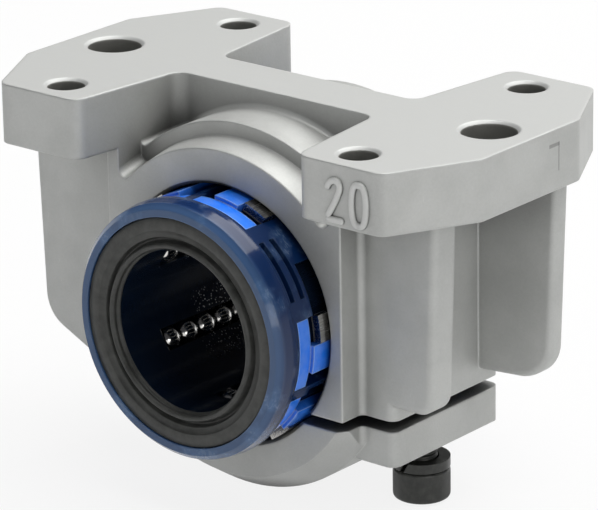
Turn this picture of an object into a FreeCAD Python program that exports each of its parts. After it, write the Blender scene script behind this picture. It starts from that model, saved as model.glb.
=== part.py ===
import FreeCAD, Part
import Sketcher
import math
import os

# Linear bearing block, size 20: a cast housing with a flange plate on top, a split
# clamp under the barrel, and a closed ball bushing with lip seals in its bore.
# Millimetres. X across, Y along the shaft, Z up; the origin is on the shaft axis,
# half way along the bushing.

DIMENSIONS = {
    # flange plate
    "plate_length": 70.0,
    "plate_width": 41.0,
    "plate_thick": 7.5,
    "centre_height": 25.0,
    "side_flat": 18.8,
    "end_flat": 58.4,
    "notch_mouth": 34.0,
    "notch_root": 30.2,
    "bridge_width": 7.75,
    "tip_round": 1.8,
    "root_round": 1.8,
    # holes in the plate
    "corner_pitch_x": 45.0,
    "corner_pitch_y": 32.0,
    "corner_bore": 4.5,
    "centre_pitch": 58.0,
    "centre_bore": 6.6,
    "hole_chamfer": 0.4,
    # barrel and body below the plate
    "housing_bore": 32.1,
    "barrel_length": 28.0,
    "band_length": 20.6,
    "band_radius": 22.8,
    "collar_radius": 20.4,
    "collar_back_radius": 21.0,
    "collar_half": 18.0,
    "saddle_angle": 117.8,
    "saddle_round": 1.0,
    "band_top_round": 0.6,
    "collar_root_round": 0.8,
    "notch_depth": 15.0,
    "bore_chamfer": 0.4,
    # clamp
    "slot_top": 9.7,
    "slot_gap": 1.4,
    "jaw_thick": 4.45,
    "jaw_round": 1.2,
    # gussets
    "rib_thick": 4.3,
    "short_rib_reach": 29.2,
    "long_rib_reach": 33.1,
    "rib_draft": 0.9,
    "rib_drop": 8.0,
    "rib_round": 4.5,
    "rib_relief": 2.2,
    "rib_edge_round": 0.9,
    "heel_drop": 7.4,
    "heel_round": 4.0,
    # bushing
    "bushing_length": 45.0,
    "bushing_radius": 15.98,
    "cage_bore": 10.4,
    "shaft_radius": 10.0,
    "ring_width": 2.9,
    "ring_face": 15.1,
    "ring_slope": 0.7,
    "shell_radius": 15.3,
    "seal_radius": 14.2,
    "seal_thick": 1.6,
    "fit_gap": 0.06,
    # balls, plates and covers
    "ball_radius": 1.5875,
    "ball_pitch": 3.24,
    "ball_count": 9,
    "row_angle": 30.0,
    "row_pitch": 60.0,
    "lip_gap": 2.76,
    "plate_back": 14.5,
    "land_angle": 12.0,
    "plate_angle": 36.0,
    "plate_run": 30.6,
    "web_angle": 97.0,
    "web_half": 3.0,
    "cover_angle": 33.0,
    "cover_run": 36.6,
    "cover_cap": 2.0,
    "strip_angle": 13.0,
    "cover_base": 13.4,
    "groove_width": 0.8,
    "groove_angle": 30.0,
    "groove_depth": 1.2,
    "groove_place": 18.1,
    "groove_step": 1.8,
    # clamp screw
    "screw_x": 18.8,
    "thread_radius": 2.0,
    "screw_clearance": 0.25,
    "thread_gap": 0.05,
    "screw_length": 16.0,
    "head_radius": 3.5,
    "head_height": 4.0,
    "hex_across": 3.0,
    "hex_depth": 2.0,
    "washer_thick": 1.2,
    "washer_slack": 2.4,
    "washer_split": 0.6,
    "thread_depth": 11.0,
}

# sizes that follow from the driving ones
PLATE_BORE = "(shaft_radius + 2 * ball_radius + fit_gap / 2)"
LAND_START = "(web_angle - web_half - cover_angle - row_angle - row_pitch)"
STRIP_RUN = "(cover_run - 2 * cover_cap)"
STRIP_FIRST = "(web_half + cover_angle - land_angle - strip_angle - 0.5)"
STRIP_LAST = "(web_half + cover_angle - land_angle - 0.5)"
ROW_LENGTH = "((ball_count - 1) * ball_pitch + 2 * ball_radius)"
JAW_FLOOR = "(slot_top + slot_gap + jaw_thick)"
ROWS = 6

NODES = []
document = FreeCAD.newDocument("linear_bearing_block")
sheet = document.addObject("Spreadsheet::Sheet", "dims")
for row, (name, size) in enumerate(DIMENSIONS.items(), start=1):
    sheet.set("A%d" % row, name)
    sheet.set("B%d" % row, str(size))
    sheet.setAlias("B%d" % row, name)
document.recompute()


def spell(expression):
    """Write the sheet's aliases in an expression as references to the sheet."""
    words = []
    word = ""
    for letter in expression + " ":
        if letter.isalnum() or letter in "_.":
            word += letter
            continue
        words.append("dims." + word if word in DIMENSIONS else word)
        words.append(letter)
        word = ""
    return "".join(words).strip()


def value(expression):
    """Number that an expression of the sheet's aliases gives now."""
    return float(sheet.evalExpression(spell(expression)))


def bind(thing, prop, expression):
    """Tie one property to an expression of the sheet's aliases."""
    thing.setExpression(prop, spell(expression))


def new_body(name):
    """Start a body that becomes a node of its own."""
    body = document.addObject("PartDesign::Body", name)
    body.Label = name
    NODES.append(body)
    return body


def new_sketch(body, plane, name, offset=None, tilt=None):
    """Start a sketch on one of the body's own origin planes.

    The offset moves it along its normal, and the tilt turns it about its own first axis.
    """
    sketch = body.newObject("Sketcher::SketchObject", name)
    support = [part for part in body.Origin.OriginFeatures if part.Role == plane][0]
    sketch.AttachmentSupport = [(support, "")]
    sketch.MapMode = "FlatFace"
    if offset:
        bind(sketch, "AttachmentOffset.Base.z", offset)
    if tilt:
        turned = "create(<<rotation>>; create(<<vector>>; 1; 0; 0); %s)" % spell(tilt)
        here = "create(<<vector>>; 0; 0; 0)"
        sketch.setExpression("AttachmentOffset", "create(<<placement>>; %s; %s)" % (here, turned))
    return sketch


def pin(sketch, element, point, across, up):
    """Hold one point of a sketch at a place given by two expressions."""
    for kind, axis, expression in (("DistanceX", -2, across), ("DistanceY", -1, up)):
        place = value(expression)
        if abs(place) < 1e-9:
            sketch.addConstraint(Sketcher.Constraint("PointOnObject", element, point, axis))
            continue
        index = sketch.addConstraint(Sketcher.Constraint(kind, -1, 1, element, point, place))
        bind(sketch, "Constraints[%d]" % index, expression)


def outline(sketch, corners):
    """Draw a closed outline.

    A corner is (across, up). With a third entry, "left" or "right", the side that
    leaves it is an arc about the sketch's origin that turns that way, and the fourth
    entry is its radius.
    """
    spots = [FreeCAD.Vector(value(corner[0]), value(corner[1]), 0) for corner in corners]
    ends = []
    for number, corner in enumerate(corners):
        start = spots[number]
        finish = spots[(number + 1) % len(corners)]
        if len(corner) == 2:
            element = sketch.addGeometry(Part.LineSegment(start, finish), False)
            ends.append((element, 1, 2))
            continue
        angles = [math.atan2(spot.y, spot.x) for spot in (start, finish)]
        if corner[2] == "right":
            angles.reverse()
        if angles[1] < angles[0]:
            angles[1] += 2 * math.pi
        circle = Part.Circle(FreeCAD.Vector(0, 0, 0), FreeCAD.Vector(0, 0, 1), value(corner[3]))
        element = sketch.addGeometry(Part.ArcOfCircle(circle, angles[0], angles[1]), False)
        ends.append((element, 1, 2) if corner[2] == "left" else (element, 2, 1))
    for number, (element, first, last) in enumerate(ends):
        follower, lead, tail = ends[(number + 1) % len(ends)]
        sketch.addConstraint(Sketcher.Constraint("Coincident", element, last, follower, lead))
    for number, corner in enumerate(corners):
        pin(sketch, ends[number][0], ends[number][1], corner[0], corner[1])
        if len(corner) == 4:
            radius = Sketcher.Constraint("Radius", ends[number][0], value(corner[3]))
            index = sketch.addConstraint(radius)
            bind(sketch, "Constraints[%d]" % index, corner[3])


def ring(sketch, radius, across="0", up="0"):
    """Draw one full circle."""
    centre = FreeCAD.Vector(value(across), value(up), 0)
    element = sketch.addGeometry(Part.Circle(centre, FreeCAD.Vector(0, 0, 1), value(radius)), False)
    pin(sketch, element, 3, across, up)
    index = sketch.addConstraint(Sketcher.Constraint("Radius", element, value(radius)))
    bind(sketch, "Constraints[%d]" % index, radius)


def extrude(body, kind, name, sketch, length, side="Symmetric", reverse=False):
    """Pad or pocket a sketch by a length."""
    feature = body.newObject("PartDesign::" + kind, name)
    feature.Profile = sketch
    feature.SideType = side
    feature.Reversed = reverse
    bind(feature, "Length", length)
    sketch.Visibility = False
    return feature


def turn(body, kind, name, sketch, angle="360", axis="H_Axis"):
    """Revolve or groove a sketch about one of its axes, evenly to both sides."""
    feature = body.newObject("PartDesign::" + kind, name)
    feature.Profile = sketch
    feature.ReferenceAxis = (sketch, [axis])
    feature.Midplane = True
    bind(feature, "Angle", angle)
    sketch.Visibility = False
    return feature


def origin_part(body, role):
    """One of a body's own origin axes or planes."""
    return [part for part in body.Origin.OriginFeatures if part.Role == role][0]


def spin(body, name, features, count, axis="Y_Axis"):
    """Repeat features evenly about one of the body's own axes."""
    pattern = body.newObject("PartDesign::PolarPattern", name)
    pattern.Originals = features
    pattern.Axis = (origin_part(body, axis), [""])
    pattern.Angle = 360
    pattern.Occurrences = count
    body.Tip = pattern
    return pattern


def mirror(body, name, features, plane="XZ_Plane"):
    """Repeat features on the other side of one of the body's own planes."""
    copy = body.newObject("PartDesign::Mirrored", name)
    copy.Originals = features
    copy.MirrorPlane = (origin_part(body, plane), [""])
    body.Tip = copy
    return copy


def edges_at(body, spots, reach=0.05):
    """Names of the tip's edges that pass through the given places."""
    shape = body.Tip.Shape
    names = []
    for number, edge in enumerate(shape.Edges, start=1):
        for spot in spots:
            if edge.distToShape(Part.Vertex(*spot))[0] < reach:
                names.append("Edge%d" % number)
                break
    return names


def soften(body, kind, name, size, spots):
    """Fillet or chamfer the edges that pass through the given places."""
    document.recompute()
    base = body.Tip
    names = edges_at(body, spots)
    feature = body.newObject("PartDesign::" + kind, name)
    feature.Base = (base, names)
    bind(feature, "Radius" if kind == "Fillet" else "Size", size)
    return feature


def swing(body, angle):
    """Turn a body about the shaft axis, from +X towards +Z."""
    axis = "create(<<vector>>; 0; 1; 0)"
    here = "create(<<vector>>; 0; 0; 0)"
    turned = "create(<<rotation>>; %s; -(%s))" % (axis, spell(angle))
    body.setExpression("Placement", "create(<<placement>>; %s; %s)" % (here, turned))


def polar(radius, angle):
    """Two expressions for a point at a radius and an angle."""
    return "(%s) * cos(%s)" % (radius, angle), "(%s) * sin(%s)" % (radius, angle)


def sector(sketch, inner, outer, first, last):
    """Outline between two radii and two angles."""
    outline(sketch, [
        polar(inner, first),
        polar(outer, first) + ("left", outer),
        polar(outer, last),
        polar(inner, last) + ("right", inner),
    ])


def make_housing():
    """The casting: plate, band, collar, gussets, clamp and all its holes."""
    body = new_body("housing")
    half_x = "plate_length / 2"
    half_y = "plate_width / 2"
    under = "centre_height - plate_thick"

    # plate, an eight-sided slab
    sketch = new_sketch(body, "XY_Plane", "plate_outline", under)
    quarter = [(half_x, "side_flat / 2"), ("end_flat / 2", half_y)]
    points = quarter + [("-(%s)" % x, y) for x, y in reversed(quarter)]
    points += [("-(%s)" % x, "-(%s)" % y) for x, y in quarter]
    points += [(x, "-(%s)" % y) for x, y in reversed(quarter)]
    outline(sketch, points)
    extrude(body, "Pad", "plate", sketch, "plate_thick", "One side")

    # wide band round the barrel, with the clamp jaw on its right
    root = "centre_height - plate_thick + 0.5"
    jaw_floor = "-(slot_top + slot_gap + jaw_thick)"
    sketch = new_sketch(body, "XZ_Plane", "band_outline")
    outline(sketch, [
        ("-band_radius", root),
        ("-band_radius", "0", "left", "band_radius"),
        ("sqrt(band_radius ^ 2 - (slot_top + slot_gap + jaw_thick) ^ 2)", jaw_floor),
        ("band_radius", jaw_floor),
        ("band_radius", root),
    ])
    extrude(body, "Pad", "band", sketch, "band_length")

    # narrower collar that reaches past the band at both ends
    corner = "-sqrt(band_radius ^ 2 - collar_half ^ 2)"
    sketch = new_sketch(body, "XZ_Plane", "collar_outline")
    outline(sketch, [
        ("-collar_half", root),
        ("-collar_half", corner, "left", "band_radius"),
        ("collar_half", corner),
        ("collar_half", root),
    ])
    extrude(body, "Pad", "collar", sketch, "barrel_length")

    # slope that takes the collar's underside in from the band's radius
    sketch = new_sketch(body, "YZ_Plane", "collar_slope_outline")
    outline(sketch, [
        ("-barrel_length / 2", "-collar_radius"),
        ("-band_length / 2", "-band_radius"),
        ("-band_length / 2", "-(band_radius + 4)"),
        ("-barrel_length / 2", "-(band_radius + 4)"),
    ])
    slope = turn(body, "Groove", "collar_slope", sketch, "180")
    mirror(body, "collar_slopes", [slope])

    make_gussets(body, root)
    make_saddle(body)
    make_bores(body)
    make_clamp(body)
    finish_housing(body)
    return body


def make_gussets(body, root):
    """Four gussets from the band out under the plate, the longer two on one diagonal."""
    front = "band_length / 2 - rib_thick / 2"
    inner = "band_radius - 1.5"
    heel = "(band_radius - 1.5) * 0.8"
    for name, side, reach, offset in (
        ("right_front", "", "short_rib_reach", front),
        ("right_rear", "", "long_rib_reach", "-(%s)" % front),
        ("left_front", "-", "long_rib_reach", front),
        ("left_rear", "-", "short_rib_reach", "-(%s)" % front),
    ):
        sketch = new_sketch(body, "XZ_Plane", name + "_gusset_outline", offset)
        foot = "-rib_drop"
        points = [(side + "(%s)" % inner, root), (side + "(%s)" % reach, root)]
        points.append((side + "(%s - rib_draft)" % reach, foot))
        if side:
            points.append(("-(%s)" % heel, "-(rib_drop + heel_drop)"))
            points.append(("-(%s)" % inner, "-2"))
        else:
            points.append((inner, foot))
        outline(sketch, points)
        extrude(body, "Pad", name + "_gusset", sketch, "rib_thick")
    y_front = -value("band_length / 2 - rib_thick / 2")
    short = value("short_rib_reach - rib_draft")
    long = value("long_rib_reach - rib_draft")
    foot = -value("rib_drop")
    corners = [(long, -y_front, foot), (-long, y_front, foot)]
    soften(body, "Fillet", "long_gusset_corners", "rib_round", corners)
    corners = [(short, y_front, foot), (-short, -y_front, foot)]
    soften(body, "Fillet", "short_gusset_corners", "rib_round / 2", corners)

    # the long gussets grow thinner outwards, which frees the middle screws
    sketch = new_sketch(body, "XY_Plane", "gusset_relief_outline", "centre_height - plate_thick")
    face = "band_length / 2 - rib_thick"
    outline(sketch, [
        ("band_radius", face),
        ("plate_length / 2 + 1", "%s - 0.5" % face),
        ("plate_length / 2 + 1", "%s + rib_relief" % face),
    ])
    relief = extrude(body, "Pocket", "gusset_relief", sketch, "2 * band_radius", "One side")
    spin(body, "gusset_reliefs", [relief], 2, "Z_Axis")

    # soft edges down both sides of each gusset's nose, half way up
    height = value("rib_drop / 2")
    back = value("rib_draft") * (value(root) - height) / (value(root) + value("rib_drop"))
    outer = value("band_length / 2")
    inner_short = outer - value("rib_thick")
    short = value("short_rib_reach") - back
    long = value("long_rib_reach") - back
    share = (long - value("band_radius")) / value("plate_length / 2 + 1 - band_radius")
    inner_long = inner_short + share * value("rib_relief")
    spots = [
        (short, -outer, height),
        (short, -inner_short, height),
        (long, outer, height),
        (long, inner_long, height),
        (-short, inner_short, height),
        (-long, -inner_long, height),
    ]
    soften(body, "Fillet", "gusset_noses", "rib_edge_round", spots)


def make_saddle(body):
    """Notches down through the plate to the barrel, whose round top shows in them."""
    sketch = new_sketch(body, "XY_Plane", "notch_outline", "centre_height")
    outline(sketch, [
        ("-notch_root / 2", "-bridge_width / 2"),
        ("notch_root / 2", "-bridge_width / 2"),
        ("notch_mouth / 2", "-plate_width / 2"),
        ("notch_mouth / 2", "-(plate_width / 2 + 2)"),
        ("-notch_mouth / 2", "-(plate_width / 2 + 2)"),
        ("-notch_mouth / 2", "-plate_width / 2"),
    ])
    notch = extrude(body, "Pocket", "front_notch", sketch, "notch_depth", "One side")
    mirror(body, "notches", [notch])
    document.recompute()
    root_x = value("notch_root / 2")
    root_y = value("bridge_width / 2")
    top = value("centre_height") - 2
    spots = [(x, y, top) for x in (-root_x, root_x) for y in (-root_y, root_y)]
    soften(body, "Fillet", "notch_roots", "root_round", spots)

    sketch = new_sketch(body, "YZ_Plane", "saddle_outline")
    outline(sketch, [
        ("-barrel_length / 2", "0"),
        ("-barrel_length / 2", "collar_radius"),
        ("-band_length / 2", "collar_back_radius"),
        ("-band_length / 2", "band_radius"),
        ("band_length / 2", "band_radius"),
        ("band_length / 2", "collar_back_radius"),
        ("barrel_length / 2", "collar_radius"),
        ("barrel_length / 2", "0"),
    ])
    turn(body, "Revolution", "saddle", sketch, "saddle_angle")
    round_saddle(body)


def notch_wall(y):
    """How far across the notch's side wall stands at a place along the shaft."""
    share = (abs(y) - value("bridge_width / 2")) / value("(plate_width - bridge_width) / 2")
    return value("notch_root / 2") + share * value("(notch_mouth - notch_root) / 2")


def round_saddle(body):
    """Concave rounds where the notch walls stand on the collar's top and on the band's,
    and where the collar's sides stand on the band's end faces."""
    band = value("band_radius")
    y_band = value("(band_length / 2 + bridge_width / 2 + root_round) / 2")
    y_collar = value("(band_length + barrel_length) / 4")
    collar = value("(collar_radius + collar_back_radius) / 2")
    for name, y, radius, size in (
        ("collar_top_rounds", y_collar, collar, "saddle_round"),
        ("band_top_rounds", y_band, band, "band_top_round"),
    ):
        x = notch_wall(y)
        z = math.sqrt(radius ** 2 - x ** 2)
        soften(body, "Fillet", name, size, four_ways(x, y, (z,)))
    low = value("slot_top / 2")
    high = value("centre_height - plate_thick - collar_root_round")
    spots = four_ways(value("collar_half"), value("band_length / 2"), (-low, 0, high))
    soften(body, "Fillet", "collar_roots", "collar_root_round", spots)


def four_ways(x, y, heights):
    """A place's four mirror images across the part, at each of some heights."""
    return [(side * x, end * y, z) for side in (-1, 1) for end in (-1, 1) for z in heights]


def make_bores(body):
    """Bore for the bushing and the six screw holes of the plate."""
    sketch = new_sketch(body, "XZ_Plane", "bore_outline")
    ring(sketch, "housing_bore / 2")
    extrude(body, "Pocket", "bore", sketch, "barrel_length + 2")
    sketch = new_sketch(body, "XY_Plane", "corner_hole_outline", "centre_height")
    for side in ("", "-"):
        for end in ("", "-"):
            ring(sketch, "corner_bore / 2", side + "corner_pitch_x / 2", end + "corner_pitch_y / 2")
    extrude(body, "Pocket", "corner_holes", sketch, "plate_thick + 1", "One side")
    sketch = new_sketch(body, "XY_Plane", "centre_hole_outline", "centre_height")
    for side in ("", "-"):
        ring(sketch, "centre_bore / 2", side + "centre_pitch / 2", "0")
    extrude(body, "Pocket", "centre_holes", sketch, "plate_thick + 1", "One side")


def make_clamp(body):
    """Slot that frees the jaw, and the stepped hole of the clamp screw."""
    slot_floor = "-(slot_top + slot_gap)"
    sketch = new_sketch(body, "XZ_Plane", "slot_outline")
    outline(sketch, [
        ("housing_bore / 4", "-slot_top"),
        ("housing_bore / 4", slot_floor),
        ("band_radius + 3", slot_floor),
        ("band_radius + 3", "-slot_top"),
    ])
    extrude(body, "Pocket", "slot", sketch, "barrel_length + 2")
    sketch = new_sketch(body, "XY_Plane", "jaw_hole_outline", "-(slot_top + slot_gap / 2)")
    ring(sketch, "thread_radius + screw_clearance", "screw_x", "0")
    extrude(body, "Pocket", "jaw_hole", sketch, "band_radius", "One side")
    sketch = new_sketch(body, "XY_Plane", "tapped_hole_outline", "-(slot_top + slot_gap / 2)")
    ring(sketch, "thread_radius + thread_gap", "screw_x", "0")
    extrude(body, "Pocket", "tapped_hole", sketch, "thread_depth + slot_gap / 2", "One side", True)
    sketch = new_sketch(body, "XY_Plane", "spot_face_outline", "-(slot_top + slot_gap + jaw_thick)")
    ring(sketch, "head_radius + 0.4", "screw_x", "0")
    extrude(body, "Pocket", "spot_face", sketch, "band_radius", "One side")


def finish_housing(body):
    """Rounds of the plate's tips and the jaw, and the chamfers of the holes."""
    top = value("centre_height")
    low = top - value("plate_thick / 2")
    spots = []
    for side in (-1, 1):
        for end in (-1, 1):
            spots.append((side * value("plate_length / 2"), end * value("side_flat / 2"), low))
            spots.append((side * value("end_flat / 2"), end * value("plate_width / 2"), low))
            spots.append((side * value("notch_mouth / 2"), end * value("plate_width / 2"), low))
    soften(body, "Fillet", "plate_tips", "tip_round", spots)
    reach = value("band_radius")
    floor = value("slot_top + slot_gap + jaw_thick / 2")
    half = value("band_length / 2")
    spots = [(reach, end * half, -floor) for end in (-1, 1)]
    spots += [(reach, end * half, -value("slot_top") + 0.5) for end in (-1, 1)]
    soften(body, "Fillet", "jaw_corners", "jaw_round", spots)
    spots = []
    for side in (-1, 1):
        centre = side * value("centre_pitch / 2")
        spots.append((centre + value("centre_bore / 2"), 0, top))
        for end in (-1, 1):
            centre = side * value("corner_pitch_x / 2")
            across = centre + value("corner_bore / 2")
            spots.append((across, end * value("corner_pitch_y / 2"), top))
    soften(body, "Chamfer", "hole_chamfers", "hole_chamfer", spots)
    bore = value("housing_bore / 2")
    spots = [(0, end * value("barrel_length / 2"), bore) for end in (-1, 1)]
    soften(body, "Chamfer", "bore_chamfers", "bore_chamfer", spots)


def make_cage():
    """Cage: a moulded tube with end rings, ball channels, seats and grooves.

    Its first ball channel lies along +X, and the finished cage is swung to its place.
    """
    body = new_body("cage")
    sketch = new_sketch(body, "YZ_Plane", "cage_profile")
    half = "bushing_length / 2"
    side = [
        (half + " - seal_thick", "cage_bore"),
        (half + " - seal_thick", "seal_radius"),
        (half, "seal_radius"),
        (half, "ring_face"),
        (half + " - ring_slope", "bushing_radius - ring_slope / 3"),
        (half + " - ring_width + ring_slope", "bushing_radius"),
        (half + " - ring_width", "bushing_radius"),
        (half + " - ring_width", "shell_radius"),
    ]
    near = [("-(%s)" % run, radius) for run, radius in side]
    outline(sketch, near + side[::-1])
    turn(body, "Revolution", "tube", sketch)

    # channels that hold each row of balls, narrower towards the shaft
    channel = "(ball_radius + fit_gap)"
    lip = "shaft_radius + ball_radius / 2"
    back = PLATE_BORE + " + 0.3"
    sketch = new_sketch(body, "XZ_Plane", "channel_outline")
    outline(sketch, [
        ("cage_bore - 1", "-lip_gap / 2"),
        (lip, "-lip_gap / 2"),
        (lip, "-" + channel),
        (back, "-" + channel),
        (back, channel),
        (lip, channel),
        (lip, "lip_gap / 2"),
        ("cage_bore - 1", "lip_gap / 2"),
    ])
    channel_cut = extrude(body, "Pocket", "channel", sketch, ROW_LENGTH + " + 2 * fit_gap")
    spin(body, "channels", [channel_cut], ROWS)

    # seats of the raceway plates
    sketch = new_sketch(body, "XZ_Plane", "plate_seat_outline")
    start = LAND_START + " - 0.25"
    sector(sketch, PLATE_BORE + " - fit_gap", "bushing_radius + 1", start,
           LAND_START + " + plate_angle + 0.25")
    seat = extrude(body, "Pocket", "plate_seat", sketch, "plate_run + 2 * fit_gap")
    spin(body, "plate_seats", [seat], ROWS)

    # seats of the track covers, a mirrored pair beside each web
    web = "web_angle - row_angle "
    near = "(web_half - 0.2)"
    far = "(web_half + cover_angle + 0.2)"
    for hand, ends in (("left", (web + "+ " + near, web + "+ " + far)),
                       ("right", (web + "- " + far, web + "- " + near))):
        sketch = new_sketch(body, "XZ_Plane", hand + "_cover_seat_outline")
        sector(sketch, "cover_base - fit_gap", "bushing_radius + 1", *ends)
        cut = extrude(body, "Pocket", hand + "_cover_seat", sketch, "cover_run + 2 * fit_gap")
        spin(body, hand + "_cover_seats", [cut], ROWS // 2)

    # two parallel grooves half way between the webs, at each end
    tilt = "90 - (web_angle - row_pitch - row_angle)"
    sketch = new_sketch(body, "YZ_Plane", "groove_outline", tilt=tilt)
    bottom = "shell_radius - groove_depth"
    for end in ("-", ""):
        for place in ("groove_place", "groove_place - groove_step"):
            outer = "%s(%s + groove_width / 2)" % (end, place)
            inner = "%s(%s - groove_width / 2)" % (end, place)
            outline(sketch, [
                (outer, bottom),
                (inner, bottom),
                (inner, "bushing_radius + 1"),
                (outer, "bushing_radius + 1"),
            ])
    grooves = turn(body, "Groove", "grooves", sketch, "groove_angle")
    spin(body, "groove_sets", [grooves], ROWS // 2)
    swing(body, "row_angle")
    return body


def make_seal(name, end):
    """Lip seal: a flat rim, a moat, and a raised lip that wipes the shaft."""
    body = new_body(name)
    sketch = new_sketch(body, "YZ_Plane", name + "_profile")
    face = "bushing_length / 2"
    back = face + " - seal_thick + 0.02"
    profile = [
        (back, "seal_radius - 0.05"),
        (face + " - 0.15", "seal_radius - 0.05"),
        (face + " - 0.15", "seal_radius - 1.2"),
        (face + " - 0.9", "seal_radius - 1.5"),
        (face + " - 0.9", "seal_radius - 1.8"),
        (face, "seal_radius - 2.1"),
        (face, "shaft_radius + 1.1"),
        (face + " - 0.6", "shaft_radius"),
        (face + " - 1.0", "shaft_radius"),
        (back, "shaft_radius + 0.7"),
    ]
    outline(sketch, [("%s(%s)" % (end, run), radius) for run, radius in profile])
    turn(body, "Revolution", name + "_ring", sketch)
    return body


def make_plate(number):
    """Raceway plate: a hardened strip whose raised land bears on the housing."""
    name = "raceway_plate_%d" % (number + 1)
    body = new_body(name)
    sketch = new_sketch(body, "XZ_Plane", name + "_section")
    step = LAND_START + " + land_angle"
    last = LAND_START + " + plate_angle"
    outline(sketch, [
        polar(PLATE_BORE, LAND_START),
        polar("bushing_radius", LAND_START) + ("left", "bushing_radius"),
        polar("bushing_radius", step),
        polar("plate_back", step) + ("left", "plate_back"),
        polar("plate_back", last),
        polar(PLATE_BORE, last) + ("right", PLATE_BORE),
    ])
    extrude(body, "Pad", name + "_strip", sketch, "plate_run")
    swing(body, "row_angle + row_pitch * %d" % number)
    return body


def make_cover(number):
    """Track cover: a cap at each end that turns the balls round, joined by a strip."""
    name = "track_cover_%d" % (number + 1)
    body = new_body(name)
    left = number % 2 == 0
    strip = (STRIP_FIRST, STRIP_LAST)
    cap = ("web_half", "web_half + cover_angle")
    if not left:
        strip = ("-" + STRIP_LAST, "-" + STRIP_FIRST)
        cap = ("-(web_half + cover_angle)", "-web_half")
    sketch = new_sketch(body, "XZ_Plane", name + "_strip_section")
    sector(sketch, "plate_back + fit_gap", "bushing_radius - 0.2", *strip)
    extrude(body, "Pad", name + "_strip", sketch, STRIP_RUN)
    sketch = new_sketch(body, "XZ_Plane", name + "_cap_section", STRIP_RUN + " / 2")
    sector(sketch, "cover_base", "shell_radius - 0.05", *cap)
    end_cap = extrude(body, "Pad", name + "_cap", sketch, "cover_cap", "One side")
    mirror(body, name + "_caps", [end_cap])
    swing(body, "web_angle + 2 * row_pitch * %d" % (number // 2))
    return body


def make_balls(number):
    """One loaded row of steel balls, which just touch the shaft."""
    name = "ball_row_%d" % (number + 1)
    body = new_body(name)
    ball = body.newObject("PartDesign::AdditiveSphere", name + "_ball")
    bind(ball, "Radius", "ball_radius")
    bind(ball, "Placement.Base.x", "shaft_radius + ball_radius")
    bind(ball, "Placement.Base.y", "-(ball_count - 1) * ball_pitch / 2")
    row = body.newObject("PartDesign::LinearPattern", name + "_balls")
    row.Originals = [ball]
    row.Direction = (origin_part(body, "Y_Axis"), [""])
    bind(row, "Length", "(ball_count - 1) * ball_pitch")
    bind(row, "Occurrences", "ball_count")
    body.Tip = row
    swing(body, "row_angle + row_pitch * %d" % number)
    return body


def make_screw():
    """Socket head screw, head down, whose origin is under its head."""
    body = new_body("clamp_screw")
    sketch = new_sketch(body, "XZ_Plane", "screw_profile")
    outline(sketch, [
        ("0", "screw_length"),
        ("thread_radius - 0.4", "screw_length"),
        ("thread_radius", "screw_length - 0.4"),
        ("thread_radius", "0"),
        ("head_radius", "0"),
        ("head_radius", "-(head_height - 0.4)"),
        ("head_radius - 0.4", "-head_height"),
        ("0", "-head_height"),
    ])
    turn(body, "Revolution", "screw_form", sketch, axis="V_Axis")
    sketch = new_sketch(body, "XY_Plane", "socket_outline", "-head_height")
    points = [polar("hex_across / 2 / cos(30)", str(60 * side)) for side in range(6)]
    outline(sketch, points)
    extrude(body, "Pocket", "socket", sketch, "hex_depth", "One side", True)
    place_at_screw(body, "-(%s + washer_slack + washer_thick)" % JAW_FLOOR)
    return body


def make_washer():
    """Split spring washer between the screw's head and the jaw."""
    body = new_body("lock_washer")
    sketch = new_sketch(body, "XY_Plane", "washer_outline")
    ring(sketch, "head_radius")
    ring(sketch, "thread_radius + 0.15")
    extrude(body, "Pad", "washer", sketch, "washer_thick", "One side")
    sketch = new_sketch(body, "XZ_Plane", "split_outline")
    lean = "washer_split"
    outline(sketch, [
        ("-washer_split / 2 - %s" % lean, "-0.5"),
        ("washer_split / 2 - %s" % lean, "-0.5"),
        ("washer_split / 2 + %s" % lean, "washer_thick + 0.5"),
        ("-washer_split / 2 + %s" % lean, "washer_thick + 0.5"),
    ])
    extrude(body, "Pocket", "split", sketch, "head_radius + 1", "One side", True)
    place_at_screw(body, "-(%s + washer_slack + washer_thick)" % JAW_FLOOR)
    return body


def place_at_screw(body, height):
    """Stand a body on the clamp screw's axis at a height."""
    bind(body, "Placement.Base.x", "screw_x")
    bind(body, "Placement.Base.z", height)


def check_and_export():
    """Stop on any broken object, then write one STEP file for each node."""
    document.recompute()
    for thing in document.Objects:
        if "Invalid" in thing.State or "Error" in thing.State:
            raise RuntimeError("broken object " + thing.Name)
    os.makedirs("parts", exist_ok=True)
    for node in NODES:
        shape = node.Shape
        if shape.isNull() or not shape.isValid():
            raise RuntimeError("bad shape in " + node.Label)
        shape.exportStep("parts/%s.step" % node.Label)
        print(node.Label, len(shape.Solids), "solid(s)", round(shape.Volume, 1), "mm3")


make_housing()
make_cage()
make_seal("front_seal", "-")
make_seal("rear_seal", "")
for index in range(ROWS):
    make_plate(index)
    make_cover(index)
    make_balls(index)
make_screw()
make_washer()
check_and_export()
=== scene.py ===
import math

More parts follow.
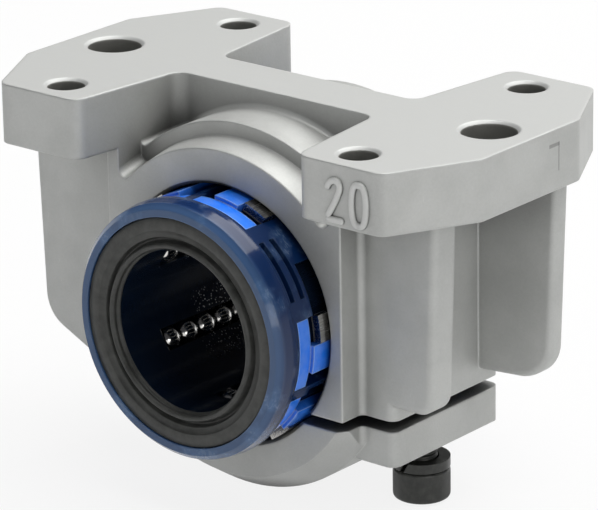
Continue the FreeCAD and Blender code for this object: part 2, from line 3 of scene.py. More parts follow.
import bmesh
import bpy
import numpy as np
from mathutils import Matrix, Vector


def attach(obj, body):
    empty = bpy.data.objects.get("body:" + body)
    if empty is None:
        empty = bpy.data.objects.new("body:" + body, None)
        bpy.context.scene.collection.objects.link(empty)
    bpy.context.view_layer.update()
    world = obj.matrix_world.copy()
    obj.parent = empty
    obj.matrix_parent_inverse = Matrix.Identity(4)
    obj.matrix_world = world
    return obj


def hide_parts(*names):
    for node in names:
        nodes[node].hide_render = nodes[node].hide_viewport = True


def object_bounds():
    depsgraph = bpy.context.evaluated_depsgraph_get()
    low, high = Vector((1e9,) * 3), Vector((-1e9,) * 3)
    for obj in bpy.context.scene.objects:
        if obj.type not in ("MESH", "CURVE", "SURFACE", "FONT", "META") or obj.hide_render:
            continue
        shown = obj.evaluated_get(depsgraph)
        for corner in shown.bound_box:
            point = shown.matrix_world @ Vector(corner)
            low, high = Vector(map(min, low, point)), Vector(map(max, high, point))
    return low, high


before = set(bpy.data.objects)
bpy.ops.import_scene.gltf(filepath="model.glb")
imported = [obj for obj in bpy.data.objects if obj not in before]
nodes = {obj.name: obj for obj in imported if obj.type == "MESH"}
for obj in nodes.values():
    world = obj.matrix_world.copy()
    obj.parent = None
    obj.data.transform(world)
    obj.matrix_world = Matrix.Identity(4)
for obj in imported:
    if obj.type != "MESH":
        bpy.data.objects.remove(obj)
frame_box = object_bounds()

# ---------------------------------------------------------------------------------------
# The studio: a white paper floor, a pale wall that darkens upwards, and three softboxes,
# a large one overhead, a low one on the right and a small one in front on the left.
# A long lens looks down on the open end of the bearing.
# ---------------------------------------------------------------------------------------
AZIMUTH = math.radians(39.784)
ELEVATION = math.radians(19.402)
ROLL = math.radians(0.912)
OFF_CENTRE = (0.0000415, 0.0032966, 0.51222)
LENS = 253.72
SENSOR = 36.0
NEAREST = 0.05
MILLIMETRES = 1000.0
SAMPLES = 6
FLOOR_DROP = 0.0002
FLOOR_SIZE = 3.0
WHITE = (1.0, 1.0, 1.0, 1.0)
PAPER = (0.72, 0.72, 0.72, 1.0)
PAPER_GLOW = 0.86
CEILING = (0.06, 0.06, 0.065, 1.0)
DUSK = (0.05, 0.30)
FILL_COLOUR = (0.93, 0.96, 1.0, 1.0)
FILL_LEVEL = 0.10
SEEN_BY = ("Camera", "Glossy", "Transmission")
WARM = (1.0, 0.995, 0.98)
COOL = (0.98, 0.99, 1.0)
# each lamp: its name, its place in metres, its width and height, its watts and its colour
SOFTBOXES = (
    ("overhead_softbox", (0.14, 0.30, 0.92), 1.1, 1.4, 18.8, WARM),
    ("right_softbox", (1.00, -0.45, 0.20), 0.8, 0.3, 2.2, WARM),
    ("front_softbox", (-0.40, -1.00, 0.50), 0.2, 0.2, 1.0, COOL),
)

level = np.array((math.cos(AZIMUTH), math.sin(AZIMUTH), 0.0))
back = np.array(
    (
        math.sin(AZIMUTH) * math.cos(ELEVATION),
        -math.cos(AZIMUTH) * math.cos(ELEVATION),
        math.sin(ELEVATION),
    )
)
upright = np.cross(back, level)
right = math.cos(ROLL) * level - math.sin(ROLL) * upright
up = math.sin(ROLL) * level + math.cos(ROLL) * upright
camera_data = bpy.data.cameras.new("camera")
camera_data.lens = LENS
camera_data.sensor_width = SENSOR
camera_data.clip_start = NEAREST
camera = bpy.data.objects.new("camera", camera_data)
view = np.eye(4)
view[:3, :3] = np.stack((right, up, back), axis=1)
view[:3, 3] = right * OFF_CENTRE[0] + up * OFF_CENTRE[1] + back * OFF_CENTRE[2]
camera.matrix_world = Matrix(view.tolist())
bpy.context.scene.collection.objects.link(camera)
bpy.context.scene.camera = camera
bpy.context.scene.view_settings.view_transform = "Standard"


def softbox(name, place, wide, tall, watts, colour):
    """An area lamp at a place, turned so that it shines at the middle of the block."""
    lamp = bpy.data.lights.new(name, "AREA")
    lamp.shape = "RECTANGLE"
    lamp.size = wide
    lamp.size_y = tall
    lamp.energy = watts
    lamp.color = colour
    holder = bpy.data.objects.new(name, lamp)
    away = np.array(place) / np.linalg.norm(place)
    across = np.cross((0.0, 0.0, 1.0), away)
    across = across / np.linalg.norm(across)
    pose = np.eye(4)
    pose[:3, :3] = np.stack((across, np.cross(away, across), away), axis=1)
    pose[:3, 3] = place
    holder.matrix_world = Matrix(pose.tolist())
    bpy.context.scene.collection.objects.link(holder)


class Amount:
    """A number that changes from place to place. Sums on it add Math nodes to its finish."""

    def __init__(self, finish, socket):
        self.finish = finish
        self.socket = socket

    def math(self, operation, first, second=0.0):
        return self.finish.node("ShaderNodeMath", {"operation": operation}, {0: first, 1: second})

    def __add__(self, other):
        return self.math("ADD", self, other)

    def __radd__(self, other):
        return self.math("ADD", other, self)

    def __sub__(self, other):
        return self.math("SUBTRACT", self, other)

    def __rsub__(self, other):
        return self.math("SUBTRACT", other, self)

    def __mul__(self, other):
        return self.math("MULTIPLY", self, other)

    def __rmul__(self, other):
        return self.math("MULTIPLY", other, self)

    def __truediv__(self, other):
        return self.math("DIVIDE", self, other)

    def __pow__(self, other):
        return self.math("POWER", self, other)

    def __abs__(self):
        return self.math("ABSOLUTE", self)

    def larger(self, other):
        return self.math("MAXIMUM", self, other)

    def rise(self, low, high):
        """0 below low, 1 above high, and a smooth step between them."""
        steps = {"Value": self, "From Min": low, "From Max": high}
        return self.finish.node("ShaderNodeMapRange", {"interpolation_type": "SMOOTHSTEP"}, steps)

    def fall(self, low, high):
        """1 below low, 0 above high, and a smooth step between them."""
        return 1.0 - self.rise(low, high)


class Finish:
    """A material, or the world: plain values stand on its shader's sockets, and what
    changes from place to place is worked out by nodes."""

    def __init__(self, name, constants, group="materials", shader="Principled BSDF"):
        self.material = getattr(bpy.data, group).new(name)
        self.material.use_nodes = True
        self.tree = self.material.node_tree
        self.shader = self.tree.nodes[shader]
        for socket, value in constants.items():
            self.shader.inputs[socket].default_value = value

    def node(self, kind, settings=None, sockets=None, output=0):
        """Add a node: first its settings, then a value or a link for each socket."""
        added = self.tree.nodes.new(kind)
        for name, value in (settings or {}).items():
            setattr(added, name, value)
        for name, value in (sockets or {}).items():
            if isinstance(value, Amount):
                self.tree.links.new(value.socket, added.inputs[name])
            else:
                added.inputs[name].default_value = value
        return Amount(self, added.outputs[output])

    def place(self):
        """The point on the piece, in millimetres."""
        metres = self.node("ShaderNodeTexCoord", output="Object")
        scaled = {0: metres, "Scale": MILLIMETRES}
        return self.node("ShaderNodeVectorMath", {"operation": "SCALE"}, scaled)

    def part(self, vector, letter):
        return self.node("ShaderNodeSeparateXYZ", {}, {0: vector}, letter)

    def stretch(self, vector, scale, turn=(0.0, 0.0, 0.0)):
        sockets = {"Vector": vector, "Rotation": turn, "Scale": scale}
        return self.node("ShaderNodeMapping", {}, sockets)

    def noise(self, vector, scale, detail, roughness):
        sockets = {"Vector": vector, "Scale": scale, "Detail": detail, "Roughness": roughness}
        return self.node("ShaderNodeTexNoise", {}, sockets)

    def tint(self, share, plain, tinted):
        """A colour that goes from plain to tinted with a share from 0 to 1."""
        return self.node("ShaderNodeMix", {"data_type": "RGBA"}, {0: share, 6: plain, 7: tinted}, 2)

    def edges(self, radius, low, high):
        """A mask for painted highlights where the surface turns within a radius, and the rounded
        normal there.
        """
        rounded = self.node("ShaderNodeBevel", {"samples": SAMPLES}, {"Radius": radius})
        flat = self.node("ShaderNodeNewGeometry", output="Normal")
        pair = {0: rounded, 1: flat}
        same = self.node("ShaderNodeVectorMath", {"operation": "DOT_PRODUCT"}, pair, "Value")
        return (1.0 - same).rise(low, high), rounded

    def openness(self, reach):
        """1 in the open, and less where other walls stand within a reach in metres."""
        return self.node("ShaderNodeAmbientOcclusion", {"samples": SAMPLES}, {"Distance": reach}, "AO")

    def bump(self, height, strength, distance, normal=None):
        sockets = {"Height": height, "Strength": strength, "Distance": distance}
        if normal:
            sockets["Normal"] = normal
        return self.node("ShaderNodeBump", {}, sockets)

    def feed(self, socket, amount):
        self.tree.links.new(amount.socket, self.shader.inputs[socket])

    def seen(self):
        """1 for rays that see the backdrop itself, 0 for those that only carry its light."""
        rays = [self.node("ShaderNodeLightPath", output="Is %s Ray" % kind) for kind in SEEN_BY]
        return rays[0] + rays[1] + rays[2]

    def blend_output(self, share, other, end):
        """Send a mix of the finish's own shader and another one to its output."""
        own = Amount(self, self.shader.outputs[0])
        mixed = self.node("ShaderNodeMixShader", {}, {0: share, 1: own, 2: other})
        self.tree.links.new(mixed.socket, self.tree.nodes[end].inputs["Surface"])


for lamp_values in SOFTBOXES:
    softbox(*lamp_values)

fill = {"Color": FILL_COLOUR, "Strength": FILL_LEVEL}
surround = Finish("surround", fill, "worlds", "Background")
bpy.context.scene.world = surround.material
toward = surround.node("ShaderNodeTexCoord", output="Generated")
wall = surround.tint(surround.part(toward, "Z").rise(*DUSK), WHITE, CEILING)
backdrop = surround.node("ShaderNodeBackground", {}, {"Color": wall})
surround.blend_output(surround.seen(), backdrop, "World Output")

floor_level = frame_box[0][2] - FLOOR_DROP
signs = ((-1, -1), (1, -1), (1, 1), (-1, 1))
corners = [(x * FLOOR_SIZE, y * FLOOR_SIZE, floor_level) for x, y in signs]
floor_mesh = bpy.data.meshes.new("floor")
floor_mesh.from_pydata(corners, [], [(0, 1, 2, 3)])
floor = bpy.data.objects.new("floor", floor_mesh)
bpy.context.scene.collection.objects.link(floor)
paper = Finish("paper", {"Base Color": PAPER, "Roughness": 0.9})
glow = paper.node("ShaderNodeEmission", {}, {"Color": WHITE, "Strength": 1.0})
paper.blend_output(paper.seen() * PAPER_GLOW, glow, "Material Output")
floor.data.materials.append(paper.material)

# ---------------------------------------------------------------------------------------
# The housing: one pressure die casting in light alloy, blasted to a fine matt grain. Its
# top face is milled flat and its screw holes are drilled. Its edges carry painted
# highlights, and painted shade darkens its recesses, creases, slot and hole walls.
# ---------------------------------------------------------------------------------------
CAST_GREY = (0.520, 0.527, 0.515, 1.0)
CAST_SHADE = (0.435, 0.441, 0.430, 1.0)
MILLED_GREY = (0.555, 0.562, 0.553, 1.0)
# the grey of rub marks and the worn number, also used for painted edge highlights
WORN_AND_HIGHLIGHT_GREY = (0.760, 0.765, 0.755, 1.0)
SHADE_GREY = (0.200, 0.202, 0.195, 1.0)
SLOT_SHADE_GREY = (0.030, 0.030, 0.028, 1.0)
HOLE_SHADE_GREY = (0.210, 0.210, 0.195, 1.0)
# heights between which each cut surface starts, and how far past a hole's radius it ends
MILLED_FROM = (24.96, 24.98)
DRILLED_FROM = (16.0, 17.0)
DRILLED_PAST = (0.02, 0.08)
CHAMFERED_FROM = (24.5, 24.6)
CHAMFERED_PAST = (0.45, 0.47)
# a hole's middle in X and Y and its radius; the others are its mirror images
CORNER_HOLE = (22.5, 16.0, 2.25)
CENTRE_HOLE = (29.0, 0.0, 3.3)
# the painted edge highlight's width and the reach of a wall's painted shade in metres, and
# the heights in millimetres between which the painted shade under the flange sets in
EDGE_WIDTH = 0.00045
RECESS_REACH = 0.018
CREASE_REACH = 0.005
UNDER_FLANGE = (6.0, 16.0)
GRAIN_SCALE = 3.2
CLOUD_SCALE = 0.16
FEED_STRETCH = (0.25, 7.0, 1.0)
FEED_TURN = (0.0, 0.0, 0.12)
RUB_STRETCH = (6.5, 6.5, 0.5)
RUB_TURN = (0.75, 0.95, 0.3)
GRAIN_DEPTH = 0.00006
# the mould mark stands on the end face at this X; each of its strokes has a middle and a
# half width along Y, and a middle and a half height
MARK_FACE = 34.90
MARK_STROKES = ((4.5, 1.0, 23.1, 0.22), (5.4, 0.10, 21.55, 1.75))
MARK_SOFT = 0.05
# what stands out past the flange's front face is the size number
NUMBER_PAST = (20.62, 20.80)


def dress(finish, *names):
    """Give CAD nodes a finish."""
    for name in names:
        nodes[name].data.materials.clear()
        nodes[name].data.materials.append(finish.material)


cast = Finish("blasted_casting", {"Metallic": 0.55, "IOR": 1.5, "Specular IOR Level": 0.4})
spot = cast.place()
x, y, z = (cast.part(spot, letter) for letter in "XYZ")

# where a cutter has been: the top face, the chamfers and the walls of the holes
milled = z.rise(*MILLED_FROM)
drilled = 0.0
for middle_x, middle_y, bore in (CORNER_HOLE, CENTRE_HOLE):
    past = ((abs(x) - middle_x) ** 2.0 + (abs(y) - middle_y) ** 2.0) ** 0.5 - bore
    drilled = drilled + past.fall(*DRILLED_PAST) * z.rise(*DRILLED_FROM)
    milled = milled + past.fall(*CHAMFERED_PAST) * z.rise(*CHAMFERED_FROM)
milled = milled.rise(0.0, 1.0) * (1.0 - drilled)
as_cast = 1.0 - milled

# the blasted skin, with a few fine rub marks
grain = cast.noise(spot, GRAIN_SCALE, 3.0, 0.65)
cloud = cast.noise(spot, CLOUD_SCALE, 3.0, 0.55)
rubbed = cast.noise(cast.stretch(spot, RUB_STRETCH, RUB_TURN), 1.0, 2.0, 0.6)
scratch = rubbed.rise(0.70, 0.78) * cloud.rise(0.45, 0.60) * 0.30
mottle = cloud.rise(0.30, 0.70) * 0.6 + grain.rise(0.25, 0.75) * 0.4
skin = cast.tint(mottle, CAST_SHADE, CAST_GREY)
skin = cast.tint(scratch * as_cast, skin, WORN_AND_HIGHLIGHT_GREY)

# painted shade: upright walls are darker in recesses, most of all under the flange, and in creases
facing = cast.part(cast.node("ShaderNodeNewGeometry", output="Normal"), "Z")
recess_shade = cast.openness(RECESS_REACH).fall(0.20, 0.92) * as_cast * facing.fall(-0.1, 0.6)
skin = cast.tint(recess_shade * (0.12 + z.rise(*UNDER_FLANGE) * 0.75), skin, SHADE_GREY)
crease = cast.openness(CREASE_REACH).rise(0.0, 1.0)
skin = cast.tint(crease.fall(0.35, 0.85) * as_cast * 0.35, skin, SHADE_GREY)

# the mould mark on the end face, its strokes darkened with painted shade
struck = 0.0
for middle, wide, middle_up, tall in MARK_STROKES:
    along = abs(y - middle).fall(wide - MARK_SOFT, wide + MARK_SOFT)
    upward = abs(z - middle_up).fall(tall - MARK_SOFT, tall + MARK_SOFT)
    struck = struck + along * upward * x.rise(MARK_FACE, MARK_FACE + MARK_SOFT)
skin = cast.tint(struck * 0.6, skin, SHADE_GREY)

# the milled face with its feed lines, painted highlights on the edges, the worn number,
# and painted shade in the slot, the tightest creases and on the hole walls
feed_lines = cast.noise(cast.stretch(spot, FEED_STRETCH, FEED_TURN), 1.0, 3.0, 0.6)
face = cast.tint(feed_lines.rise(0.2, 0.8) * 0.35, MILLED_GREY, CAST_GREY)
skin = cast.tint(milled, skin, face)
# painted highlight: edges are lightened where the surface turns; the number's lighter top is wear
edge_highlight, rounded = cast.edges(EDGE_WIDTH, 0.03, 0.30)
proud = (0.0 - y).rise(*NUMBER_PAST)
skin = cast.tint((edge_highlight * 0.6).larger(proud * 0.42) * (1.0 - drilled), skin, WORN_AND_HIGHLIGHT_GREY)
# painted shade: near black in the slot and the tightest creases
skin = cast.tint(crease.fall(0.03, 0.45) * as_cast * (1.0 - drilled) * 0.9, skin, SLOT_SHADE_GREY)
# painted shade: the walls of the drilled holes are dark
skin = cast.tint(drilled, skin, HOLE_SHADE_GREY)
cast.feed("Base Color", skin)
cast.feed("Roughness", 0.50 + grain * 0.12 + milled * 0.03 - edge_highlight * 0.08)
relief = grain * (1.0 - milled * 0.8) + feed_lines * milled * 0.3 - struck * 2.0
cast.feed("Normal", cast.bump(relief, 0.45, GRAIN_DEPTH, rounded))
dress(cast, "housing")

# ---------------------------------------------------------------------------------------
# The size number: the shaft's diameter in millimetres, cast as raised strokes on the
# front of the right wing, with the draft and the soft shoulders of a cut die.
# ---------------------------------------------------------------------------------------
NUMBER_FACE = -0.0205
NUMBER_RAISE = 0.00038
STROKE_HALF = 0.00044
STROKE_SINK = 0.0003
STROKE_SQUARE = 0.55
STROKE_STEPS = 13
STROKE_TIP = 0.02
TWO_STEPS = 90
FOOT_STEPS = 30
ZERO_STEPS = 121
# points along the strokes, in millimetres in X and Z
TWO_LINE = (
    (21.62, 21.75), (21.71, 22.32), (22.12, 22.83), (22.65, 23.02), (23.16, 22.9), (23.40, 22.45),
    (23.36, 21.95), (23.14, 21.39), (22.75, 20.58), (22.22, 19.62), (21.72, 18.79), (21.60, 18.45),
)
TWO_FOOT = ((21.45, 18.30), (22.4, 18.32), (23.98, 18.34))
ZERO_MIDDLE = (26.15, 20.69)
ZERO_HALF = (1.04, 2.42)
ZERO_SQUARE = 0.62


def smooth_run(points, count):
    """Points at even steps along a Catmull-Rom curve through the given ones: on each piece
    a cubic in t whose slopes at both ends are half the chord between the neighbours."""
    given = np.array(points, float) / MILLIMETRES
    padded = np.vstack((2 * given[0] - given[1], given, 2 * given[-1] - given[-2]))
    at = np.linspace(0.0, len(given) - 1 - 1e-9, count)
    cell = at.astype(int)
    t = (at - cell)[:, None]
    a, b, c, d = (padded[cell + k] for k in range(4))
    square = 2 * a - 5 * b + 4 * c - d
    cube = 3 * b - a - 3 * c + d
    return 0.5 * (2 * b + (c - a) * t + square * t**2 + cube * t**3)


def zero_run(count):
    """Points round a superellipse: the middle plus the half width by a power of the cosine
    and the half height by the sine."""
    turn = np.linspace(-0.5 * math.pi, 1.5 * math.pi, count)
    across = np.sign(np.cos(turn)) * np.abs(np.cos(turn)) ** ZERO_SQUARE
    points = np.array(ZERO_MIDDLE) + np.stack((across, np.sin(turn)), axis=1) * ZERO_HALF
    return points / MILLIMETRES


def raised_stroke(name, run, joined):
    """A rounded bar along a line on the wing's face: at each point of the line the section
    is a superellipse as wide as the stroke, and it shrinks to a half round at both ends
    unless the line is joined to its own start."""
    along = np.gradient(run, axis=0)
    if joined:
        along[0] = along[-1] = run[1] - run[-2]
    along /= np.linalg.norm(along, axis=1)[:, None]
    across = np.stack((-along[:, 1], along[:, 0]), axis=1)
    gone = np.concatenate(((0.0,), np.cumsum(np.linalg.norm(np.diff(run, axis=0), axis=1))))
    left = np.minimum(gone, gone[-1] - gone)
    ends = 0.0 if joined else 1.0
    short = ends * np.clip(1.0 - left / STROKE_HALF, 0.0, 1.0) ** 2
    taper = np.sqrt(np.clip(1.0 - short, STROKE_TIP, 1.0))[:, None]
    turn = np.linspace(0.0, math.pi, STROKE_STEPS)
    side = np.sign(np.cos(turn)) * np.abs(np.cos(turn)) ** STROKE_SQUARE
    rise = np.abs(np.sin(turn)) ** STROKE_SQUARE
    flat = run[:, None, :] + across[:, None, :] * (side[None, :, None] * STROKE_HALF * taper[:, None])
    reach = STROKE_SINK + NUMBER_RAISE * taper**0.5
    out = NUMBER_FACE + STROKE_SINK - reach * rise[None, :]
    return closed_grid(name, np.stack((flat[..., 0], out, flat[..., 1]), axis=2))


def closed_grid(name, grid):
    """A piece over a grid of points whose rows run round it: quads between the rows, and a
    fan from the middle point of each end row."""
    rows, columns = grid.shape[:2]
    index = np.arange(rows * columns).reshape(rows, columns)
    ahead = np.roll(index, -1, axis=1)
    quads = np.stack((index[:-1], index[1:], ahead[1:], ahead[:-1]), axis=2).reshape(-1, 4)
    ends = np.stack((grid[0].mean(0), grid[-1].mean(0)))
    first = np.stack((np.full(columns, rows * columns), index[0], ahead[0]), axis=1)
    last = np.stack((np.full(columns, rows * columns + 1), ahead[-1], index[-1]), axis=1)
    faces = quads.tolist() + first.tolist() + last.tolist()
    return new_piece(name, np.vstack((grid.reshape(-1, 3), ends)), faces)


def new_piece(name, points, faces):
    """An object at the origin with a smooth closed mesh, all of whose faces look outwards."""
    mesh = bpy.data.meshes.new(name)
    mesh.from_pydata(points.tolist(), [], faces)
    mesh.polygons.foreach_set("use_smooth", np.ones(len(mesh.polygons), bool))
    work = bmesh.new()
    work.from_mesh(mesh)
    bmesh.ops.recalc_face_normals(work, faces=work.faces)
    work.to_mesh(mesh)
    work.free()
    piece = bpy.data.objects.new(name, mesh)
    bpy.context.scene.collection.objects.link(piece)
    return piece


def finish_piece(piece, finish, body):
    """Give a new piece its finish and its body."""
    piece.data.materials.append(finish.material)
    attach(piece, body)


for name, line, joined in (
    ("number_two", smooth_run(TWO_LINE, TWO_STEPS), False),
    ("number_two_foot", smooth_run(TWO_FOOT, FOOT_STEPS), False),
    ("number_zero", zero_run(ZERO_STEPS), True),
):
    stroke = raised_stroke(name, line, joined)
    finish_piece(stroke, cast, "block")

# ---------------------------------------------------------------------------------------
# The cage: one injection moulding in glossy dark blue plastic, pressed into the bore.
# Its end rings stand clear of the casting and are scuffed by handling; their faces carry a
# painted sheen and their edges painted highlights. Inside, painted shade darkens the bore,
# and drops of grease stand beside the ball tracks.
# ---------------------------------------------------------------------------------------
CAGE_BLUE = (0.004, 0.021, 0.085, 1.0)
CAGE_HAZE_AND_SHEEN = (0.070, 0.135, 0.270, 1.0)
CAGE_SHADE_BLUE = (0.0035, 0.009, 0.022, 1.0)
SCUFF_BLUE = (0.180, 0.240, 0.330, 1.0)
GREASE = (0.620, 0.650, 0.660, 1.0)
# each patch of grease: its angle and spread in degrees, its middle and reach along Y
GREASE_SPOTS = ((197.0, 12.0, -2.0, 7.0), (154.0, 9.0, -6.0, 4.0), (222.0, 15.0, -1.0, 9.0))
DROP_SCALE = 2.6
RING_EDGE = 0.00025
END_BAND = (21.2, 22.3)
OUTSIDE = (14.0, 14.2)
INSIDE = (12.0, 12.6)
SCUFF_DEPTH = 0.00005

moulded = Finish("moulded_cage", {"IOR": 1.5, "Specular IOR Level": 0.25, "Coat Roughness": 0.06})
spot = moulded.place()
x, y, z = (moulded.part(spot, letter) for letter in "XYZ")
radius = (x * x + z * z) ** 0.5
outer = radius.rise(*OUTSIDE)
rim_sheen = abs(y).rise(*END_BAND) * outer
edge_highlight, rounded = moulded.edges(RING_EDGE, 0.03, 0.25)
patch = moulded.noise(spot, 0.20, 3.0, 0.6).rise(0.50, 0.66)
fine = moulded.noise(moulded.stretch(spot, (1.0, 3.0, 1.0)), 1.6, 3.0, 0.7).rise(0.45, 0.8)
scuff = patch * fine * outer
cells = moulded.node("ShaderNodeTexVoronoi", {}, {"Vector": spot, "Scale": DROP_SCALE}, "Distance")
crowd = moulded.noise(spot, 0.9, 2.0, 0.6).rise(0.33, 0.50)
near = 0.0
for angle, spread, middle, reach in GREASE_SPOTS:
    toward = x * math.cos(math.radians(angle)) + z * math.sin(math.radians(angle))
    side = (toward / radius).rise(math.cos(math.radians(spread)), math.cos(math.radians(spread / 3)))
    near = near + side * abs(y - middle).fall(reach / 2, reach)
drops = cells.fall(0.20, 0.31) * crowd * near * radius.fall(*INSIDE)
# painted shade: the inside of the cage is darker than its outside
skin = moulded.tint(radius.rise(13.3, 14.3), CAGE_SHADE_BLUE, CAGE_BLUE)
# random scuffed patches, a painted sheen on the end rings' faces and painted highlights on edges
skin = moulded.tint((patch * 0.4 + rim_sheen * 0.65 + edge_highlight * 0.3) * outer, skin, CAGE_HAZE_AND_SHEEN)
skin = moulded.tint(scuff * 0.5, skin, SCUFF_BLUE)
skin = moulded.tint(drops, skin, GREASE)
moulded.feed("Base Color", skin)
moulded.feed("Coat Weight", outer * 0.25)
moulded.feed("Roughness", 0.15 + patch * outer * 0.12 + scuff * 0.15)
moulded.feed("Normal", moulded.bump(fine * 0.4 + drops * 2.0, 0.25, SCUFF_DEPTH, rounded))
dress(moulded, "cage")

# ---------------------------------------------------------------------------------------
# The track covers: clear bright blue mouldings that snap into the cage and carry the
# balls back over each track. Their rims carry painted highlights, and painted shade
# darkens them where other walls stand close.
# ---------------------------------------------------------------------------------------
COVER_BLUE = (0.018, 0.215, 1.000, 1.0)
COVER_TONE_AND_HIGHLIGHT = (0.400, 0.620, 1.000, 1.0)
COVER_SHADE_BLUE = (0.004, 0.030, 0.260, 1.0)
COVER_EDGE = 0.00035
COVER_SHADE = 0.0025
COVER_RIPPLE = 0.00004

clear = Finish(
    "clear_blue_cover",
    {"Roughness": 0.16, "IOR": 1.5, "Coat Weight": 0.6, "Coat Roughness": 0.04},
)
spot = clear.place()
edge_highlight, rounded = clear.edges(COVER_EDGE, 0.02, 0.22)
depth = clear.noise(spot, 0.5, 2.0, 0.5).rise(0.3, 0.7)
# painted shade: darker where other walls stand close
shade = clear.openness(COVER_SHADE).fall(0.25, 0.85)
# painted highlights on the rims, with a little random tone
tone = clear.tint(edge_highlight * 0.8 + depth * 0.12, COVER_BLUE, COVER_TONE_AND_HIGHLIGHT)
clear.feed("Base Color", clear.tint(shade * 0.7, tone, COVER_SHADE_BLUE))
clear.feed("Normal", clear.bump(depth, 0.1, COVER_RIPPLE, rounded))
dress(clear, *["track_cover_%d" % row for row in range(1, 7)])

# ---------------------------------------------------------------------------------------
# The seals: nitrile rubber rings pressed into both ends of the cage, with two soft lips
# that wipe the shaft.
# ---------------------------------------------------------------------------------------
RUBBER = (0.034, 0.035, 0.033, 1.0)
RUBBER_PALE = (0.085, 0.087, 0.082, 1.0)
RUBBER_PORE = 0.00003
SEAL_FACE = 0.0225
SEAL_STEPS = 192
# each station of the moulding's section: its radius and its depth below the end face
SEAL_SECTION = (
    (14.10, 1.55), (14.10, 0.28), (14.02, 0.16), (12.62, 0.14), (12.50, 0.20), (12.44, 0.36),
    (11.76, 0.42), (11.62, 0.52), (11.56, 1.10), (11.36, 1.24), (11.14, 1.12), (11.02, 0.60),
    (10.86, 0.20), (10.62, 0.08), (10.36, 0.20), (10.18, 0.52), (10.34, 0.74), (10.40, 0.86),
    (10.22, 1.00), (10.02, 1.14), (10.04, 1.30), (10.40, 1.55),
)

rubber = Finish("seal_rubber", {"IOR": 1.5, "Specular IOR Level": 0.35})
spot = rubber.place()
bloom = rubber.noise(spot, 0.7, 4.0, 0.6).rise(0.3, 0.75)
pores = rubber.noise(spot, 9.0, 2.0, 0.6)
rubber.feed("Base Color", rubber.tint(bloom * 0.6, RUBBER, RUBBER_PALE))
rubber.feed("Roughness", 0.36 + bloom * 0.16)
rubber.feed("Normal", rubber.bump(pores, 0.15, RUBBER_PORE))


def turned_ring(name, section, face, end, steps):
    """A ring turned about the shaft: point (i, j) is station j of the section swung round
    by angle i, at x = r cos, z = r sin, and as deep below the end face as the station says."""
    stations = np.array(section) / MILLIMETRES
    angle = np.linspace(0.0, 2.0 * math.pi, steps, endpoint=False)[:, None]
    x = stations[None, :, 0] * np.cos(angle)
    z = stations[None, :, 0] * np.sin(angle)
    y = np.broadcast_to(end * (face - stations[None, :, 1]), x.shape)
    index = np.arange(x.size).reshape(x.shape)
    on = np.roll(index, -1, axis=0)
    quads = np.stack((index, on, np.roll(on, -1, axis=1), np.roll(index, -1, axis=1)), axis=2)
    points = np.stack((x, y, z), axis=2).reshape(-1, 3)
    return new_piece(name, points, quads.reshape(-1, 4).tolist())


for name, end in (("front_seal", -1.0), ("rear_seal", 1.0)):
    seal = turned_ring(name + "_moulding", SEAL_SECTION, SEAL_FACE, end, SEAL_STEPS)
    finish_piece(seal, rubber, "block")
    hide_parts(name)

# ---------------------------------------------------------------------------------------
# The raceway plates: hardened steel strips, ground along their length, whose backs show
# between the covers. Below the backs they take the dark blue of the cage's painted shade.
# ---------------------------------------------------------------------------------------
PLATE_LIGHT = (0.62, 0.61, 0.59, 1.0)
PLATE_DARK = (0.30, 0.295, 0.285, 1.0)
PLATE_BACK = (14.8, 15.2)
GRINDING_STRETCH = (9.0, 0.35, 9.0)
GRINDING_DEPTH = 0.00003

ground = Finish("ground_steel", {"IOR": 1.5})
spot = ground.place()
lines = ground.noise(ground.stretch(spot, GRINDING_STRETCH), 1.0, 3.0, 0.6)
x, z = (ground.part(spot, letter) for letter in "XZ")
land = ((x * x + z * z) ** 0.5).rise(*PLATE_BACK)
steel = ground.tint(lines.rise(0.3, 0.7), PLATE_DARK, PLATE_LIGHT)
# painted shade: below the back the plate takes the cage's shaded dark blue
ground.feed("Base Color", ground.tint(land, CAGE_SHADE_BLUE, steel))
ground.feed("Metallic", land)
ground.feed("Roughness", 0.16 + lines * 0.18)
ground.feed("Normal", ground.bump(lines, 0.12, GRINDING_DEPTH))
dress(ground, *["raceway_plate_%d" % row for row in range(1, 7)])

# ---------------------------------------------------------------------------------------
# The balls: polished bearing steel under a thin film of grease, in six loaded rows that
# the cage holds.
# ---------------------------------------------------------------------------------------
BALL_STEEL = (0.70, 0.69, 0.67, 1.0)
BALL_FILM = (0.42, 0.41, 0.38, 1.0)

polished = Finish("polished_steel", {"Metallic": 1.0})
spot = polished.place()
film = polished.noise(spot, 0.9, 3.0, 0.6).rise(0.42, 0.7)
polished.feed("Base Color", polished.tint(film * 0.6, BALL_STEEL, BALL_FILM))
polished.feed("Roughness", 0.11 + film * 0.12)
dress(polished, *["ball_row_%d" % row for row in range(1, 7)])

# ---------------------------------------------------------------------------------------
# The clamp screw and its lock washer: black-oxidised steel, slightly oily. The screw's
# head is knurled round its side and its hexagon socket faces down.
# ---------------------------------------------------------------------------------------
OXIDE = (0.016, 0.017, 0.015, 1.0)
OXIDE_HAZE_AND_HIGHLIGHT = (0.055, 0.057, 0.050, 1.0)
OXIDE_EDGE = 0.0002
OXIDE_DEPTH = 0.00004
SCREW_X = 18.8
HEX_HALF = 1.5
THREAD_PITCH = 0.7
THREAD_DEEP = 0.22
KNURL_DEEP = 0.035
KNURL_TEETH = 60
SCREW_STEPS = 120
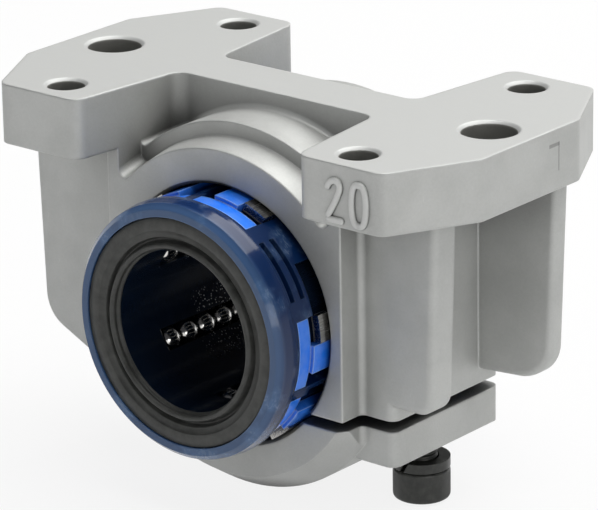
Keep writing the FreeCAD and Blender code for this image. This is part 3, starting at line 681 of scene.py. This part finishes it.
# each station from the socket's floor to the thread's point: radius, height above the
# head's face, and the shares of hexagon, knurl and thread in its outline
SOCKET = ((1.5, 2.0, 1, 0, 0), (1.5, 0.2, 1, 0, 0), (1.85, 0.0, 0, 0, 0))
HEAD_EDGE = ((3.02, 0.0, 0, 0, 0), (3.22, 0.04, 0, 0, 0), (3.38, 0.15, 0, 0, 0), (3.47, 0.32, 0, 0, 0))
KNURL = [(3.5, level, 0, 1, 0) for level in np.linspace(0.55, 3.35, 12)]
SHOULDER = ((3.48, 3.55, 0, 0, 0), (3.40, 3.78, 0, 0, 0), (3.22, 3.94, 0, 0, 0), (3.0, 4.0, 0, 0, 0))
NECK = ((2.0, 4.0, 0, 0, 0), (1.8, 4.3, 0, 0, 0))
THREAD = [(2.0, level, 0, 0, 1) for level in np.linspace(4.5, 19.6, 173)]
POINT = ((1.65, 19.85, 0, 0, 0), (1.4, 20.0, 0, 0, 0))

oxide = Finish("black_oxide", {"Metallic": 0.35, "IOR": 1.6})
spot = oxide.place()
haze = oxide.noise(spot, 1.1, 3.0, 0.6).rise(0.35, 0.75)
edge_highlight, rounded = oxide.edges(OXIDE_EDGE, 0.03, 0.3)
# an oily haze, and painted highlights on the edges
oxide.feed("Base Color", oxide.tint(haze * 0.5 + edge_highlight * 0.4, OXIDE, OXIDE_HAZE_AND_HIGHLIGHT))
oxide.feed("Roughness", 0.30 + haze * 0.15)
oxide.feed("Normal", oxide.bump(haze, 0.1, OXIDE_DEPTH, rounded))
dress(oxide, "lock_washer")


def turned_screw(name, stations, foot):
    """A screw as a surface of two parameters: at station j and angle i the radius is the
    station's own, changed to a hexagon's, cut by teeth that follow the angle, or cut by a
    triangle wave that climbs one pitch in each turn."""
    radius, level, hexed, knurled, threaded = np.array(stations, float).T[:, :, None]
    angle = np.linspace(0.0, 2.0 * math.pi, SCREW_STEPS, endpoint=False)[None, :]
    sixth = np.mod(angle, math.pi / 3.0) - math.pi / 6.0
    reach = radius + hexed * (HEX_HALF / np.cos(sixth) - radius)
    reach = reach - knurled * KNURL_DEEP * (1.0 + np.cos(KNURL_TEETH * angle))
    turns = level / THREAD_PITCH - angle / (2.0 * math.pi)
    reach = reach - threaded * THREAD_DEEP * np.abs(2.0 * np.mod(turns, 1.0) - 1.0)
    x = SCREW_X + reach * np.cos(angle)
    y = reach * np.sin(angle)
    z = foot + np.broadcast_to(level, reach.shape)
    return closed_grid(name, np.stack((x, y, z), axis=2) / MILLIMETRES)


stations = [*SOCKET, *HEAD_EDGE, *KNURL, *SHOULDER, *NECK, *THREAD, *POINT]
foot = MILLIMETRES * min(corner[2] for corner in nodes["clamp_screw"].bound_box)
screw = turned_screw("clamp_screw_finished", stations, foot)
finish_piece(screw, oxide, "screw")
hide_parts("clamp_screw")
